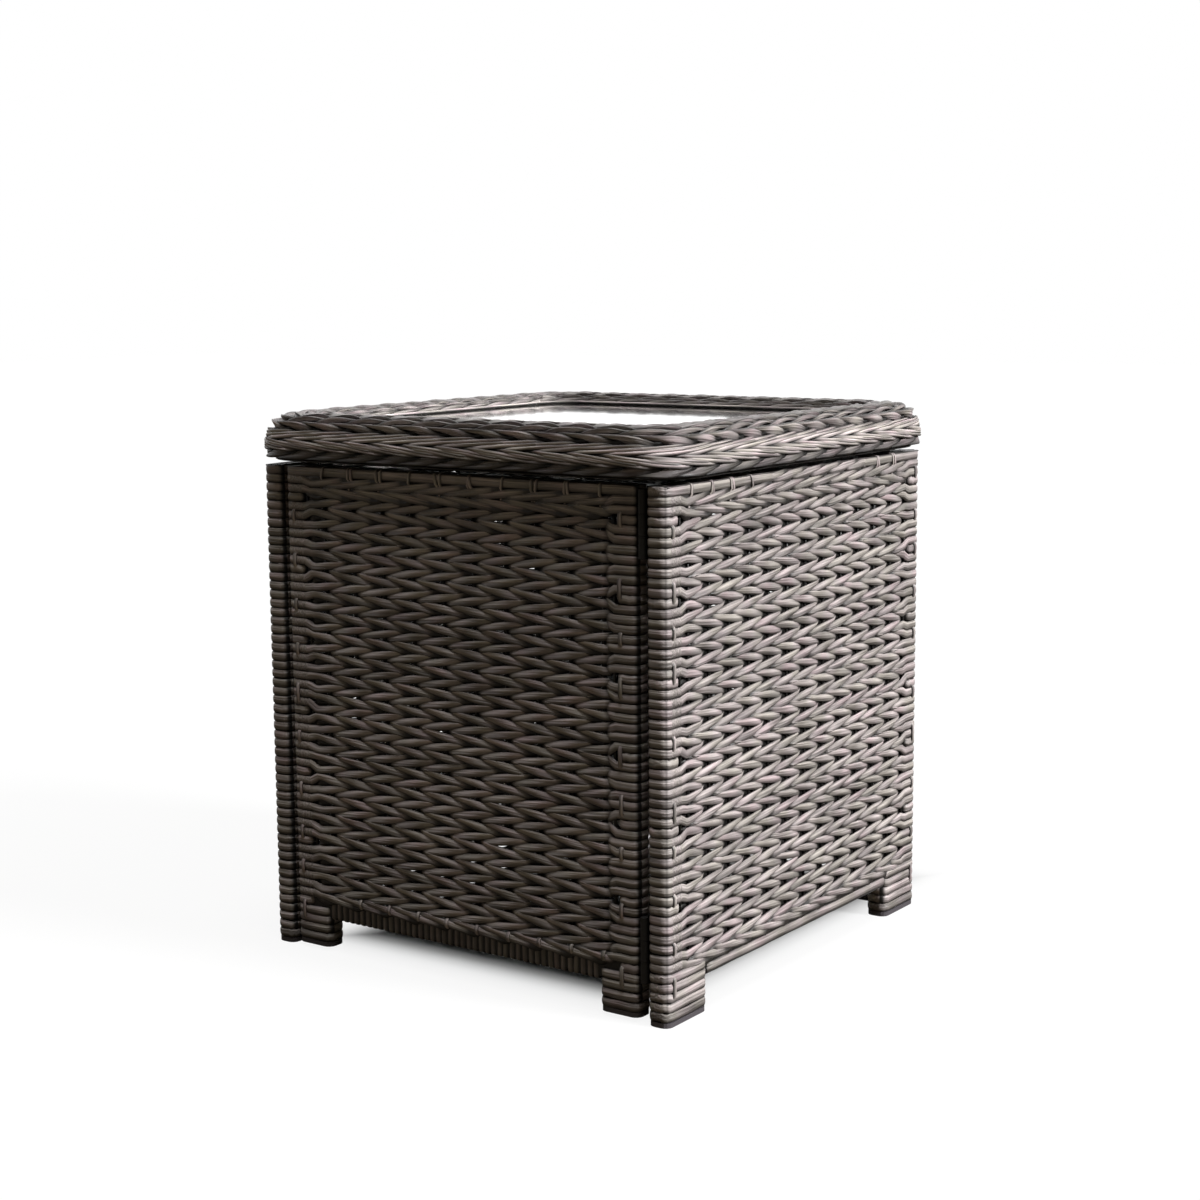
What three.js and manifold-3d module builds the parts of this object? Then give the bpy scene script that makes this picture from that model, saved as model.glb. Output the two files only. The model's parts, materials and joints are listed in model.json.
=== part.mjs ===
// Wicker table that covers a propane tank.
// Four woven panels on welded tube frames stand round the tank. The front one is a hinged door.
// A woven lid with a glass inset rests on four pads above them and lifts off.
// Millimetres, +Z up, origin on the floor at the centre of the footprint, door towards -Y.

import * as THREE from 'three';
import { mergeVertices, toCreasedNormals } from 'three/addons/utils/BufferGeometryUtils.js';
import Module from 'manifold-3d';

const wasm = await Module();
wasm.setup();

// Body
const body_width = 482;
const body_depth = 482;
const body_height = 490;
const panel_thickness = 24;
const post_corner_radius = 8;
const field_thickness = 9;
const foot_clear_height = 33;
const side_foot_width = 68;
const door_foot_width = 45;
const back_panel_gap = 1.5;
const door_latch_gap = 5;
const door_hinge_gap = 8;
const door_floor_clearance = 4;

// Welded tube frames
const tube_size = 18;
const tube_wall = 1.2;
const tube_corner_radius = 4;

// Weave
const row_pitch = 10.6;
const row_relief = 1.3;
const field_relief = 3.6;
const field_relief_run = 16;
const braid_pitch = 12.6;
const edge_twine_pitch = 8.9;
const braid_bulge = 0.45;

// Foot caps
const glide_height = 5;
const glide_plug_height = 12;

// Header rail and catch
const header_size = 18;
const header_wall = 1.2;
const header_drop = 4;
const header_setback = 14;
const header_plate_thickness = 2;
const header_plate_reach = 18;
const catch_width = 42;
const catch_height = 13;
const catch_lip = 2;
const catch_from_latch_edge = 60;
const strike_width = 36;
const strike_height = 10;
const strike_thickness = 1.2;

// Bolts
const bolt_diameter = 6;
const bolt_head_diameter = 10;
const bolt_head_height = 3.5;
const bolt_end_overrun = 3;
const back_bolt_from_floor = 110;
const back_bolt_from_top = 90;

// Hinges
const hinge_height = 60;
const hinge_barrel_diameter = 7.4;
const hinge_pin_diameter = 4;
const hinge_pin_clearance = 0.1;
const hinge_pin_head = 1.4;
const hinge_leaf_thickness = 1.2;
const hinge_leaf_width = 17;
const hinge_from_door_end = 5;
const knuckle_gap = 0.4;

// Lid
const lid_overhang = 13;
const lid_gap = 5;
const lid_thickness = 46.5;
const lid_rim_width = 60;
const lid_corner_radius = 50;
const lid_inner_radius = 37;
const lid_tube_width = 28;
const lid_tube_height = 25;
const lid_tube_wall = 1.5;
const lid_tube_inset = 15;
const lid_tube_lift = 6;
const ledge_reach = 16;
const ledge_thickness = 2;

// Glass
const glass_thickness = 5;
const glass_recess = 12;
const glass_edge_gap = 2;
const bumper_height = 2;
const bumper_diameter = 10;

// Lid pads
const pad_diameter = 14;
const pad_from_corner = 62;
const pad_stem_diameter = 6;
const pad_stem_height = 14;

// Fits
const fit_gap = 0.3;
const cut_overrun = 20;

// Counts
const corner_steps = 2;
const edge_twine_rows = 2;
const braid_rows = 6;
const lid_corner_steps = 5;
const round_sides = 16;
const pad_sides = 12;
const bolt_sides = 8;

// Outline shares of the lid rim, outer edge to inner edge, as shares of its width and thickness
const rim_outline_shares = [
  [0.86, 0.0],
  [0.2, 0.0],
  [0.09, 0.05],
  [0.02, 0.16],
  [0.0, 0.34],
  [0.015, 0.52],
  [0.07, 0.68],
  [0.17, 0.84],
  [0.32, 0.95],
  [0.5, 1.0],
  [0.72, 0.975],
  [0.89, 0.9],
  [0.985, 0.79],
  [1.0, 0.7],
];
// Stretch of that outline that is twined and braided, and the depth between rows as a share of their pitch
const rim_rows_from_share = 0.365;
const rim_rows_to_share = 0.98;
const rim_relief_share = 0.32;

// Materials
const finish = (color, roughness, metalness) => new THREE.MeshStandardMaterial({ color, roughness, metalness });
const wicker = finish(0x7d7166, 0.6, 0);
const lid_wicker = finish(0x82766a, 0.6, 0);
const painted_tube = finish(0x2a2826, 0.5, 0.3);
const zinc_steel = finish(0xb4b6b8, 0.35, 0.9);
const foot_plastic = finish(0x2e2d2c, 0.7, 0);
const pad_rubber = finish(0x1c1c1c, 0.9, 0);
const clear_plastic = finish(0xdfe4e4, 0.3, 0);
const catch_plastic = finish(0x4a4642, 0.6, 0);
const glass = new THREE.MeshStandardMaterial({
  color: 0xdbe6e3,
  roughness: 0.05,
  metalness: 0,
  transparent: true,
  opacity: 0.35,
});

// Faces that meet at more than this angle show an edge
const crease_angle = THREE.MathUtils.degToRad(24);

// What the strands cover of each tube, all round it
const tube_cover = (panel_thickness - tube_size) / 2;

// A closed geometry as a solid that can be cut and joined
function solid(geometry) {
  const bare = geometry.index ? geometry.clone() : geometry;
  bare.deleteAttribute('normal');
  bare.deleteAttribute('uv');
  const merged = mergeVertices(bare);
  return new wasm.Manifold(new wasm.Mesh({
    numProp: 3,
    vertProperties: Float32Array.from(merged.attributes.position.array),
    triVerts: Uint32Array.from(merged.index.array),
  }));
}

function geometryOf(shape) {
  const mesh = shape.getMesh();
  const geometry = new THREE.BufferGeometry();
  geometry.setAttribute('position', new THREE.BufferAttribute(Float32Array.from(mesh.vertProperties), 3));
  geometry.setIndex(new THREE.BufferAttribute(Uint32Array.from(mesh.triVerts), 1));
  return toCreasedNormals(geometry, crease_angle);
}

// A block between two corners
function block([x0, y0, z0], [x1, y1, z1]) {
  const box = new THREE.BoxGeometry(x1 - x0, y1 - y0, z1 - z0);
  box.translate((x0 + x1) / 2, (y0 + y1) / 2, (z0 + z1) / 2);
  return solid(box);
}

// A round bar from one point along X, Y or Z
function bar(axis, radius, length, [x, y, z], sides) {
  const cylinder = new THREE.CylinderGeometry(radius, radius, length, sides);
  cylinder.translate(0, length / 2, 0);
  if (axis === 'x') cylinder.rotateZ(-Math.PI / 2);
  if (axis === 'z') cylinder.rotateX(Math.PI / 2);
  cylinder.translate(x, y, z);
  return solid(cylinder);
}

// A skin stretched over a stack of loops that all have the same number of points
function loft(loops, closed_ring = false) {
  const count = loops[0].length;
  const positions = [];
  for (const loop of loops) for (const p of loop) positions.push(p.x, p.y, p.z);
  const faces = [];
  const last = closed_ring ? loops.length : loops.length - 1;
  for (let i = 0; i < last; i += 1) {
    const here = i * count;
    const next = ((i + 1) % loops.length) * count;
    for (let j = 0; j < count; j += 1) {
      const k = (j + 1) % count;
      if ((i + j) % 2) {
        faces.push(here + j, here + k, next + j, here + k, next + k, next + j);
      } else {
        faces.push(here + j, next + k, next + j, here + j, here + k, next + k);
      }
    }
  }
  if (!closed_ring) {
    const flat = loops[0].map((p) => new THREE.Vector2(p.x, p.y));
    const top = (loops.length - 1) * count;
    for (const [a, b, c] of THREE.ShapeUtils.triangulateShape(flat, [])) {
      faces.push(a, c, b);
      faces.push(top + a, top + b, top + c);
    }
  }
  const geometry = new THREE.BufferGeometry();
  geometry.setAttribute('position', new THREE.BufferAttribute(Float32Array.from(positions), 3));
  geometry.setIndex(faces);
  return geometry;
}

// A round-cornered square post from one height to another
function post(x, y, size, radius, low, high) {
  const half = size / 2;
  if (radius === 0) return block([x - half, y - half, low], [x + half, y + half, high]);
  const shape = roundedRectangle(size, size, radius);
  const column = new THREE.ExtrudeGeometry(shape, { depth: high - low, bevelEnabled: false, curveSegments: 1 });
  column.translate(x, y, low);
  return solid(column);
}

// The tubes of one panel frame. `grow` swells them for the cavity in the skin, or shrinks them for the bore.
// A panel lies along X with its outer face at y = 0 and its inner face at y = panel_thickness.
function frameTubes({ width, bottom, footWidth }, grow) {
  const centre = panel_thickness / 2;
  const reach = tube_size / 2 + grow;
  const outer = width / 2 - centre;
  const inner = width / 2 - footWidth + centre;
  const topRail = body_height - centre;
  const bottomRail = foot_clear_height + centre;
  const low = bottom - (grow === 0 ? 0 : cut_overrun);
  const rail = (z) => block([-outer, centre - reach, z - reach], [outer, centre + reach, z + reach]);
  let tubes = rail(topRail).add(rail(bottomRail));
  for (const side of [-1, 1]) {
    const radius = grow < 0 ? 0 : tube_corner_radius + grow;
    tubes = tubes.add(post(side * outer, centre, reach * 2, radius, low, topRail + reach));
    tubes = tubes.add(post(side * inner, centre, reach * 2, radius, low, bottomRail + reach));
  }
  return tubes;
}

function panelFrame(panel) {
  return frameTubes(panel, 0).subtract(frameTubes(panel, -tube_wall));
}

// The inner side of a woven skin, with its two rounded edges
function skinBack(width, bottom) {
  const shape = roundedRectangle(width - row_relief, panel_thickness, post_corner_radius);
  const slab = new THREE.ExtrudeGeometry(shape, {
    depth: body_height - bottom,
    bevelEnabled: false,
    curveSegments: corner_steps,
  });
  slab.translate(0, panel_thickness / 2, bottom);
  const overrun = width;
  return solid(slab).subtract(block(
    [-overrun, -cut_overrun, bottom - cut_overrun],
    [overrun, post_corner_radius, body_height + cut_overrun],
  ));
}

// The woven skin: rows of strands wound round the posts and twined across the field between them.
// Each row is a rib. The furrows between rows are shallow over the tubes and deepen into the field.
function wovenSkin(panel) {
  const { width, bottom, footWidth } = panel;
  const half = width / 2;
  const flat = half - post_corner_radius;
  const recess = half - panel_thickness;
  const field_low = foot_clear_height + panel_thickness;
  const field_high = body_height - panel_thickness;
  const rows = Math.round((body_height - bottom) / row_pitch);
  const pitch = (body_height - bottom) / rows;
  const loops = [];
  for (let level = 0; level <= rows * 2; level += 1) {
    const furrow = level % 2 === 0;
    const z = bottom + (level * pitch) / 2;
    const inField = z > field_low && z < field_high;
    const dip = furrow ? row_relief : 0;
    const fieldDip = furrow && inField ? field_relief : dip;
    const edge = [[recess - field_relief_run, fieldDip], [flat, dip]];
    for (let j = 1; j < corner_steps; j += 1) {
      const angle = (Math.PI / 2) * (j / corner_steps);
      const reach = post_corner_radius - dip;
      edge.push([flat + reach * Math.sin(angle), post_corner_radius - reach * Math.cos(angle)]);
    }
    edge.push([half - row_relief / 2, post_corner_radius]);
    const right = edge.map(([x, y]) => new THREE.Vector3(x, y, z));
    const left = edge.map(([x, y]) => new THREE.Vector3(-x, y, z));
    loops.push([...right, ...left.reverse()]);
  }
  let skin = solid(loft(loops)).add(skinBack(width, bottom));
  const footInner = half - footWidth;
  skin = skin.subtract(block(
    [-footInner, -cut_overrun, bottom - cut_overrun],
    [footInner, panel_thickness + cut_overrun, foot_clear_height],
  ));
  skin = skin.subtract(block(
    [-recess, field_thickness, field_low],
    [recess, panel_thickness + cut_overrun, field_high],
  ));
  return skin.subtract(frameTubes(panel, fit_gap));
}

// A foot cap: a flat shoe under the whole foot with a plug up each of its two tubes
function footCap({ bottom, footWidth }) {
  const halfFoot = footWidth / 2;
  const low = bottom - glide_height;
  const shape = roundedRectangle(footWidth - row_relief, panel_thickness - row_relief, post_corner_radius);
  const shoe = new THREE.ExtrudeGeometry(shape, {
    depth: glide_height - fit_gap,
    bevelEnabled: false,
    curveSegments: corner_steps,
  });
  shoe.translate(0, panel_thickness / 2, low);
  let cap = solid(shoe);
  const plug = tube_size - 2 * (tube_wall + fit_gap);
  const from = (panel_thickness - plug) / 2;
  for (const side of [-1, 1]) {
    const centre = side * (halfFoot - panel_thickness / 2);
    cap = cap.add(block([centre - plug / 2, from, low], [centre + plug / 2, from + plug, bottom + glide_plug_height]));
  }
  return cap;
}

function roundedRectangle(width, height, radius) {
  const shape = new THREE.Shape();
  const x = width / 2;
  const y = height / 2;
  shape.moveTo(-x + radius, -y);
  shape.lineTo(x - radius, -y);
  shape.absarc(x - radius, -y + radius, radius, -Math.PI / 2, 0, false);
  shape.lineTo(x, y - radius);
  shape.absarc(x - radius, y - radius, radius, 0, Math.PI / 2, false);
  shape.lineTo(-x + radius, y);
  shape.absarc(-x + radius, y - radius, radius, Math.PI / 2, Math.PI, false);
  shape.lineTo(-x, -y + radius);
  shape.absarc(-x + radius, -y + radius, radius, Math.PI, Math.PI * 1.5, false);
  return shape;
}

// Loops of a rounded rectangle, one for each [inset, z] of a closed section, joined into a ring.
// The corner radius runs from the lid's outer one to its inner one as the inset grows.
function lidRing(section) {
  const loops = section.map(([inset, z]) => {
    const radius = lid_corner_radius + ((lid_inner_radius - lid_corner_radius) * inset) / lid_rim_width;
    const x = body_width / 2 + lid_overhang - inset - radius;
    const y = body_depth / 2 + lid_overhang - inset - radius;
    const loop = [];
    const corners = [[x, -y, -1], [x, y, 0], [-x, y, 1], [-x, -y, 2]];
    for (const [cx, cy, quarter] of corners) {
      for (let j = 0; j <= lid_corner_steps; j += 1) {
        const angle = (Math.PI / 2) * (quarter + j / lid_corner_steps);
        loop.push(new THREE.Vector3(cx + radius * Math.cos(angle), cy + radius * Math.sin(angle), z));
      }
    }
    return loop;
  });
  return solid(loft(loops, true));
}

// Places in the assembly
const half_width = body_width / 2;
const half_depth = body_depth / 2;
const side_bottom = glide_height;
const door_bottom = glide_height + door_floor_clearance;
const door_left = -half_width + panel_thickness + door_latch_gap;
const door_right = half_width - panel_thickness - door_hinge_gap;
const door_width = door_right - door_left;
const door_centre = (door_left + door_right) / 2;
const back_width = body_width - 2 * (panel_thickness + back_panel_gap);

const side_panel = {
  width: body_depth,
  bottom: side_bottom,
  footWidth: side_foot_width,
};
const back_panel = { ...side_panel, width: back_width };
const door_panel = {
  width: door_width,
  bottom: door_bottom,
  footWidth: door_foot_width,
};
const panels = {
  left: { panel: side_panel, turn: -Math.PI / 2, at: [-half_width, 0, 0] },
  right: { panel: side_panel, turn: Math.PI / 2, at: [half_width, 0, 0] },
  back: { panel: back_panel, turn: Math.PI, at: [0, half_depth, 0] },
  door: { panel: door_panel, turn: 0, at: [door_centre, -half_depth, 0] },
};

const table = new THREE.Group();

function put(parent, name, shape, material, [x, y, z] = [0, 0, 0]) {
  const mesh = new THREE.Mesh(geometryOf(shape), material);
  mesh.name = name;
  mesh.position.set(x, y, z);
  parent.add(mesh);
  return mesh;
}

// Holes for the bolts, in the table's own frame. Each starts at its head and runs outwards along X.
const bolt_y = half_depth - panel_thickness + tube_cover + bolt_head_diameter / 2;
const bolt_start = half_width - 2 * panel_thickness - back_panel_gap - fit_gap;
const bolt_grip = tube_cover + tube_wall + bolt_end_overrun;
const back_bolt_length = panel_thickness + back_panel_gap + fit_gap + bolt_grip;
const back_bolt_heights = { low: back_bolt_from_floor, high: body_height - back_bolt_from_top };
const header_y = -half_depth + panel_thickness + header_setback;
const header_top = body_height - header_drop;
const header_centre_y = header_y + header_size / 2;
const header_centre_z = header_top - header_size / 2;
const header_end = half_width - panel_thickness - fit_gap;
const header_bolt_start = header_end - header_plate_thickness - fit_gap;
const header_bolt_length = header_plate_thickness + 2 * fit_gap + bolt_grip;
const header_bolt_y = header_y + header_size + header_plate_reach / 2;

function boltHole(side, start, length, y, z) {
  const radius = bolt_diameter / 2 + fit_gap;
  const x = side > 0 ? start - cut_overrun : -start - length;
  return bar('x', radius, length + cut_overrun, [x, y, z], bolt_sides);
}

const bolt_holes = [];
for (const side of [-1, 1]) {
  for (const z of Object.values(back_bolt_heights)) {
    bolt_holes.push(boltHole(side, bolt_start, back_bolt_length, bolt_y, z));
  }
  bolt_holes.push(boltHole(side, header_bolt_start, header_bolt_length, header_bolt_y, header_centre_z));
}

// Cuts the bolt holes from a shape that is given in a panel's own frame
function drilled(shape, { turn, at }) {
  const degrees = THREE.MathUtils.radToDeg(turn);
  let placed = shape.rotate([0, 0, degrees]).translate(at);
  for (const hole of bolt_holes) placed = placed.subtract(hole);
  return placed.translate(at.map((v) => -v)).rotate([0, 0, -degrees]);
}

// Panels: frame, woven skin and two foot caps each
for (const [side, place] of Object.entries(panels)) {
  const group = new THREE.Group();
  group.position.set(...place.at);
  group.rotation.z = place.turn;
  table.add(group);
  const { panel } = place;
  const isDoor = side === 'door';
  const frame = panelFrame(panel);
  const skin = wovenSkin(panel);
  put(group, `${side}_frame`, isDoor ? frame : drilled(frame, place), painted_tube);
  put(group, `${side}_weave`, isDoor ? skin : drilled(skin, place), wicker);
  const shift = (panel.width - panel.footWidth) / 2;
  put(group, `${side}_foot_cap_a`, footCap(panel), foot_plastic, [-shift, 0, 0]);
  put(group, `${side}_foot_cap_b`, footCap(panel), foot_plastic, [shift, 0, 0]);
}

// Bolts that hold the back panel and the header rail to the side frames
function bolt(length) {
  return bar('x', bolt_diameter / 2, length - fit_gap, [0, 0, 0], bolt_sides)
    .add(bar('x', bolt_head_diameter / 2, bolt_head_height, [-bolt_head_height, 0, 0], bolt_sides));
}

function addBolt(name, side, start, length, y, z) {
  const mesh = put(table, name, bolt(length), zinc_steel, [side * start, y, z]);
  mesh.rotation.z = side > 0 ? 0 : Math.PI;
}

for (const [word, side] of [['left', -1], ['right', 1]]) {
  for (const [level, z] of Object.entries(back_bolt_heights)) {
    addBolt(`back_bolt_${word}_${level}`, side, bolt_start, back_bolt_length, bolt_y, z);
  }
  addBolt(`header_bolt_${word}`, side, header_bolt_start, header_bolt_length, header_bolt_y, header_centre_z);
}

// Header rail: a square tube behind the top of the door, with a drilled plate welded on each end
function headerRail() {
  const inner = header_end - header_plate_thickness;
  let rail = block([-inner, header_y, header_top - header_size], [inner, header_y + header_size, header_top]);
  for (const side of [-1, 1]) {
    const x = [side * (inner - fit_gap), side * header_end].sort((a, b) => a - b);
    rail = rail.add(block(
      [x[0], header_y, header_top - header_size],
      [x[1], header_y + header_size + header_plate_reach, header_top],
    ));
  }
  const bore = header_size - 2 * header_wall;
  rail = rail.subtract(block(
    [-header_end - cut_overrun, header_centre_y - bore / 2, header_centre_z - bore / 2],
    [header_end + cut_overrun, header_centre_y + bore / 2, header_centre_z + bore / 2],
  ));
  for (const hole of bolt_holes) rail = rail.subtract(hole);
  return rail;
}
put(table, 'header_rail', headerRail(), painted_tube);

// Magnet catch on the front of the header rail, and the strike plate on the door's top rail
const catch_x = door_left + catch_from_latch_edge;
const door_inner = -half_depth + panel_thickness;
const strike_back = door_inner + fit_gap + strike_thickness;

function magnetCatch() {
  const low = header_centre_z - catch_height / 2;
  const front = strike_back + fit_gap;
  const body = block(
    [catch_x - catch_width / 2, front, low],
    [catch_x + catch_width / 2, header_y - fit_gap, low + catch_height],
  );
  const ears = [-1, 1].map((side) => {
    const x = [catch_x + (side * strike_width) / 2, catch_x + side * catch_width].sort((p, q) => p - q);
    return block([x[0], front - cut_overrun, low - cut_overrun], [x[1], front + catch_lip, header_top + cut_overrun]);
  });
  return ears.reduce((shape, ear) => shape.subtract(ear), body);
}
put(table, 'magnet_catch', magnetCatch(), catch_plastic);
put(table, 'strike_plate', block(
  [catch_x - strike_width / 2, door_inner + fit_gap, header_centre_z - strike_height / 2],
  [catch_x + strike_width / 2, strike_back, header_centre_z + strike_height / 2],
), zinc_steel);

// Hinges: a butt hinge at the top and one at the bottom of the gap on the door's right
const barrel_radius = hinge_barrel_diameter / 2;
const hinge_x = door_right + door_hinge_gap / 2;
const hinge_y = -half_depth + barrel_radius + fit_gap;
const knuckle = hinge_height / 3;

function hingeLeaf(side, knuckles) {
  const plate_x = [side * (barrel_radius - hinge_leaf_thickness), side * barrel_radius].sort((a, b) => a - b);
  let leaf = block([plate_x[0], barrel_radius + knuckle_gap, 0], [plate_x[1], hinge_leaf_width, hinge_height]);
  for (const i of knuckles) {
    const low = i * knuckle + (i > 0 ? knuckle_gap / 2 : 0);
    const high = (i + 1) * knuckle - (i < 2 ? knuckle_gap / 2 : 0);
    leaf = leaf.add(bar('z', barrel_radius, high - low, [0, 0, low], round_sides));
    leaf = leaf.add(block([plate_x[0], 0, low], [plate_x[1], hinge_leaf_width, high]));
  }
  const hole_radius = hinge_pin_diameter / 2 + hinge_pin_clearance;
  return leaf.subtract(bar('z', hole_radius, hinge_height + 2 * cut_overrun, [0, 0, -cut_overrun], round_sides));
}

function hingePin() {
  return bar('z', hinge_pin_diameter / 2, hinge_height + hinge_pin_head, [0, 0, 0], round_sides)
    .add(bar('z', barrel_radius, hinge_pin_head, [0, 0, hinge_height + knuckle_gap / 2], round_sides));
}

const hinge_lows = {
  upper: body_height - hinge_from_door_end - hinge_height,
  lower: foot_clear_height + hinge_from_door_end,
};
for (const [word, z] of Object.entries(hinge_lows)) {
  const at = [hinge_x, hinge_y, z];
  put(table, `${word}_hinge_frame_leaf`, hingeLeaf(1, [0, 2]), zinc_steel, at);
  put(table, `${word}_hinge_door_leaf`, hingeLeaf(-1, [1]), zinc_steel, at);
  put(table, `${word}_hinge_pin`, hingePin(), zinc_steel, at);
}

// Lid: welded tube ring with a ledge for the glass, woven rim round it, glass on four clear bumpers
const lid_bottom = body_height + lid_gap;
const lid_top = lid_bottom + lid_thickness;
const glass_top = lid_top - glass_recess;
const ledge_top = glass_top - glass_thickness - bumper_height;
const tube_low = lid_bottom + lid_tube_lift;
const tube_high = tube_low + lid_tube_height;
const tube_inner = lid_tube_inset + lid_tube_width;

function ringSection(outer, inner, low, high) {
  return [[inner, low], [outer, low], [outer, high], [inner, high]];
}

const pad_x = half_width - panel_thickness / 2;
const pad_y = half_depth - pad_from_corner;
const pad_places = {
  front_left: [-pad_x, -pad_y],
  front_right: [pad_x, -pad_y],
  rear_left: [-pad_x, pad_y],
  rear_right: [pad_x, pad_y],
};
const stem_holes = Object.values(pad_places).map(([x, y]) => bar(
  'z',
  pad_stem_diameter / 2 + fit_gap,
  pad_stem_height + fit_gap + cut_overrun,
  [x, y, lid_bottom - cut_overrun],
  bolt_sides,
));

function lidFrame() {
  const wall = lid_tube_wall;
  let frame = lidRing(ringSection(lid_tube_inset, tube_inner, tube_low, tube_high));
  frame = frame.add(lidRing(ringSection(
    tube_inner - wall,
    lid_rim_width + ledge_reach,
    ledge_top - ledge_thickness,
    ledge_top,
  )));
  frame = frame.subtract(lidRing(ringSection(
    lid_tube_inset + wall,
    tube_inner - wall,
    tube_low + wall,
    tube_high - wall,
  )));
  for (const hole of stem_holes) frame = frame.subtract(hole);
  return frame;
}

// The rim's section from its inner lower edge, outwards and over the top: a smooth outline with a rib for
// each twined or braided row
function rimSection() {
  const corners = rim_outline_shares.map(([across, up]) => new THREE.Vector2(
    across * lid_rim_width,
    lid_bottom + up * lid_thickness,
  ));
  const outline = new THREE.CurvePath();
  corners.slice(1).forEach((corner, i) => outline.add(new THREE.LineCurve(corners[i], corner)));
  const lengths = outline.getCurveLengths();
  const total = outline.getLength();
  const pitches = [...Array(edge_twine_rows).fill(edge_twine_pitch), ...Array(braid_rows).fill(braid_pitch)];
  const rowsLength = pitches.reduce((sum, pitch) => sum + pitch, 0);
  const stretch = (rim_rows_to_share - rim_rows_from_share) / rowsLength;

  // A point of the outline, sunk inwards by a depth or, where that is negative, proud of it
  function sunk(share, depth) {
    const before = outline.getPoint(share - stretch);
    const along = outline.getPoint(share + stretch).sub(before).normalize();
    const { x, y } = outline.getPoint(share);
    return [x + along.y * depth, y - along.x * depth];
  }

  const section = corners.filter((corner, i) => i === 0 || lengths[i - 1] < rim_rows_from_share * total);
  const ribbed = [sunk(rim_rows_from_share, rim_relief_share * pitches[0])];
  let share = rim_rows_from_share;
  pitches.forEach((pitch, i) => {
    const shallow = Math.min(pitch, pitches[i + 1] || pitch);
    ribbed.push(sunk(share + (pitch * stretch) / 2, -braid_bulge));
    share += pitch * stretch;
    ribbed.push(sunk(share, rim_relief_share * shallow));
  });
  const last = corners[corners.length - 1];
  return [...section.map(({ x, y }) => [x, y]), ...ribbed, [last.x, last.y]];
}

function lidRim() {
  let rim = lidRing([...rimSection(), [lid_rim_width, ledge_top - ledge_thickness - fit_gap - row_relief]]);
  rim = rim.subtract(lidRing(ringSection(
    lid_tube_inset - fit_gap,
    tube_inner + fit_gap,
    tube_low - fit_gap,
    tube_high + fit_gap,
  )));
  rim = rim.subtract(lidRing(ringSection(
    tube_inner,
    lid_rim_width + cut_overrun,
    ledge_top - ledge_thickness - fit_gap,
    ledge_top + fit_gap,
  )));
  for (const hole of stem_holes) rim = rim.subtract(hole);
  return rim;
}
put(table, 'lid_frame', lidFrame(), painted_tube);
put(table, 'lid_rim', lidRim(), lid_wicker);

function glassPane() {
  const inset = lid_rim_width + glass_edge_gap;
  const shape = roundedRectangle(
    body_width + 2 * (lid_overhang - inset),
    body_depth + 2 * (lid_overhang - inset),
    lid_inner_radius - glass_edge_gap,
  );
  const pane = new THREE.ExtrudeGeometry(shape, {
    depth: glass_thickness,
    bevelEnabled: false,
    curveSegments: lid_corner_steps,
  });
  return solid(pane);
}
put(table, 'glass_top', glassPane(), glass, [0, 0, glass_top - glass_thickness]);

const bumper_inset = lid_rim_width + ledge_reach / 2;
const bumper_x = half_width + lid_overhang - bumper_inset;
const bumper_y = pad_y - lid_inner_radius;
const bumper_places = {
  front_left: [-bumper_x, -bumper_y],
  front_right: [bumper_x, -bumper_y],
  rear_left: [-bumper_x, bumper_y],
  rear_right: [bumper_x, bumper_y],
};
for (const [word, [x, y]] of Object.entries(bumper_places)) {
  const disc = bar('z', bumper_diameter / 2, bumper_height - 2 * fit_gap, [0, 0, 0], pad_sides);
  put(table, `glass_bumper_${word}`, disc, clear_plastic, [x, y, ledge_top + fit_gap]);
}

for (const [word, [x, y]] of Object.entries(pad_places)) {
  const pad = bar('z', pad_diameter / 2, lid_gap - 2 * fit_gap, [0, 0, fit_gap], pad_sides)
    .add(bar('z', pad_stem_diameter / 2, lid_gap + pad_stem_height - fit_gap, [0, 0, fit_gap], bolt_sides));
  put(table, `lid_pad_${word}`, pad, pad_rubber, [x, y, body_height]);
}

export default table;
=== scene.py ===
import json
import math
import random

import bmesh
import bpy
import numpy as np
from mathutils import Matrix, Vector


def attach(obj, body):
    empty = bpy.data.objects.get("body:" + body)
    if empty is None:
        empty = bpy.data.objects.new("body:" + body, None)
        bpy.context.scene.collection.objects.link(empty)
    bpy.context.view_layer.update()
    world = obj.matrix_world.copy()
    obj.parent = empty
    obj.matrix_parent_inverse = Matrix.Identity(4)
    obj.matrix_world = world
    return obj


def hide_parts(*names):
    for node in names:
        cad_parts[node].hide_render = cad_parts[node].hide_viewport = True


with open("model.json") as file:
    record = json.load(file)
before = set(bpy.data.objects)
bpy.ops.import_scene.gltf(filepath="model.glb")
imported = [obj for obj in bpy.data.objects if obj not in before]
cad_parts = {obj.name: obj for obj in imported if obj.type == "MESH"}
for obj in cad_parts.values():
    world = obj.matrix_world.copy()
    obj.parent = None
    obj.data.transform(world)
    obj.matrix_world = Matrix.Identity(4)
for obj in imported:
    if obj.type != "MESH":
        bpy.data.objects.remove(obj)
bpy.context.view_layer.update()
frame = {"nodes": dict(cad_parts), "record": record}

# Lengths are in millimetres up to the last step of each piece, which turns them into metres.
MM = 0.001
random.seed(7)

PANEL_DEPTH = 24.0
HALF_BODY = 241.0
BODY_TOP = 490.0
CLEARANCE = 33.0
POST_RADIUS = 8.0
STRAND_WIDTH = 9.0
STRAND_THICKNESS = 2.5
# Depth of a strand's middle where it lies flat on a panel's face
SKIN_DEPTH = STRAND_THICKNESS / 2 + 0.1
ROW_PITCH = 10.3
WRAP_PITCH = 8.95
# Points of a strand from one stake to the next
SAMPLES = 8


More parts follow.
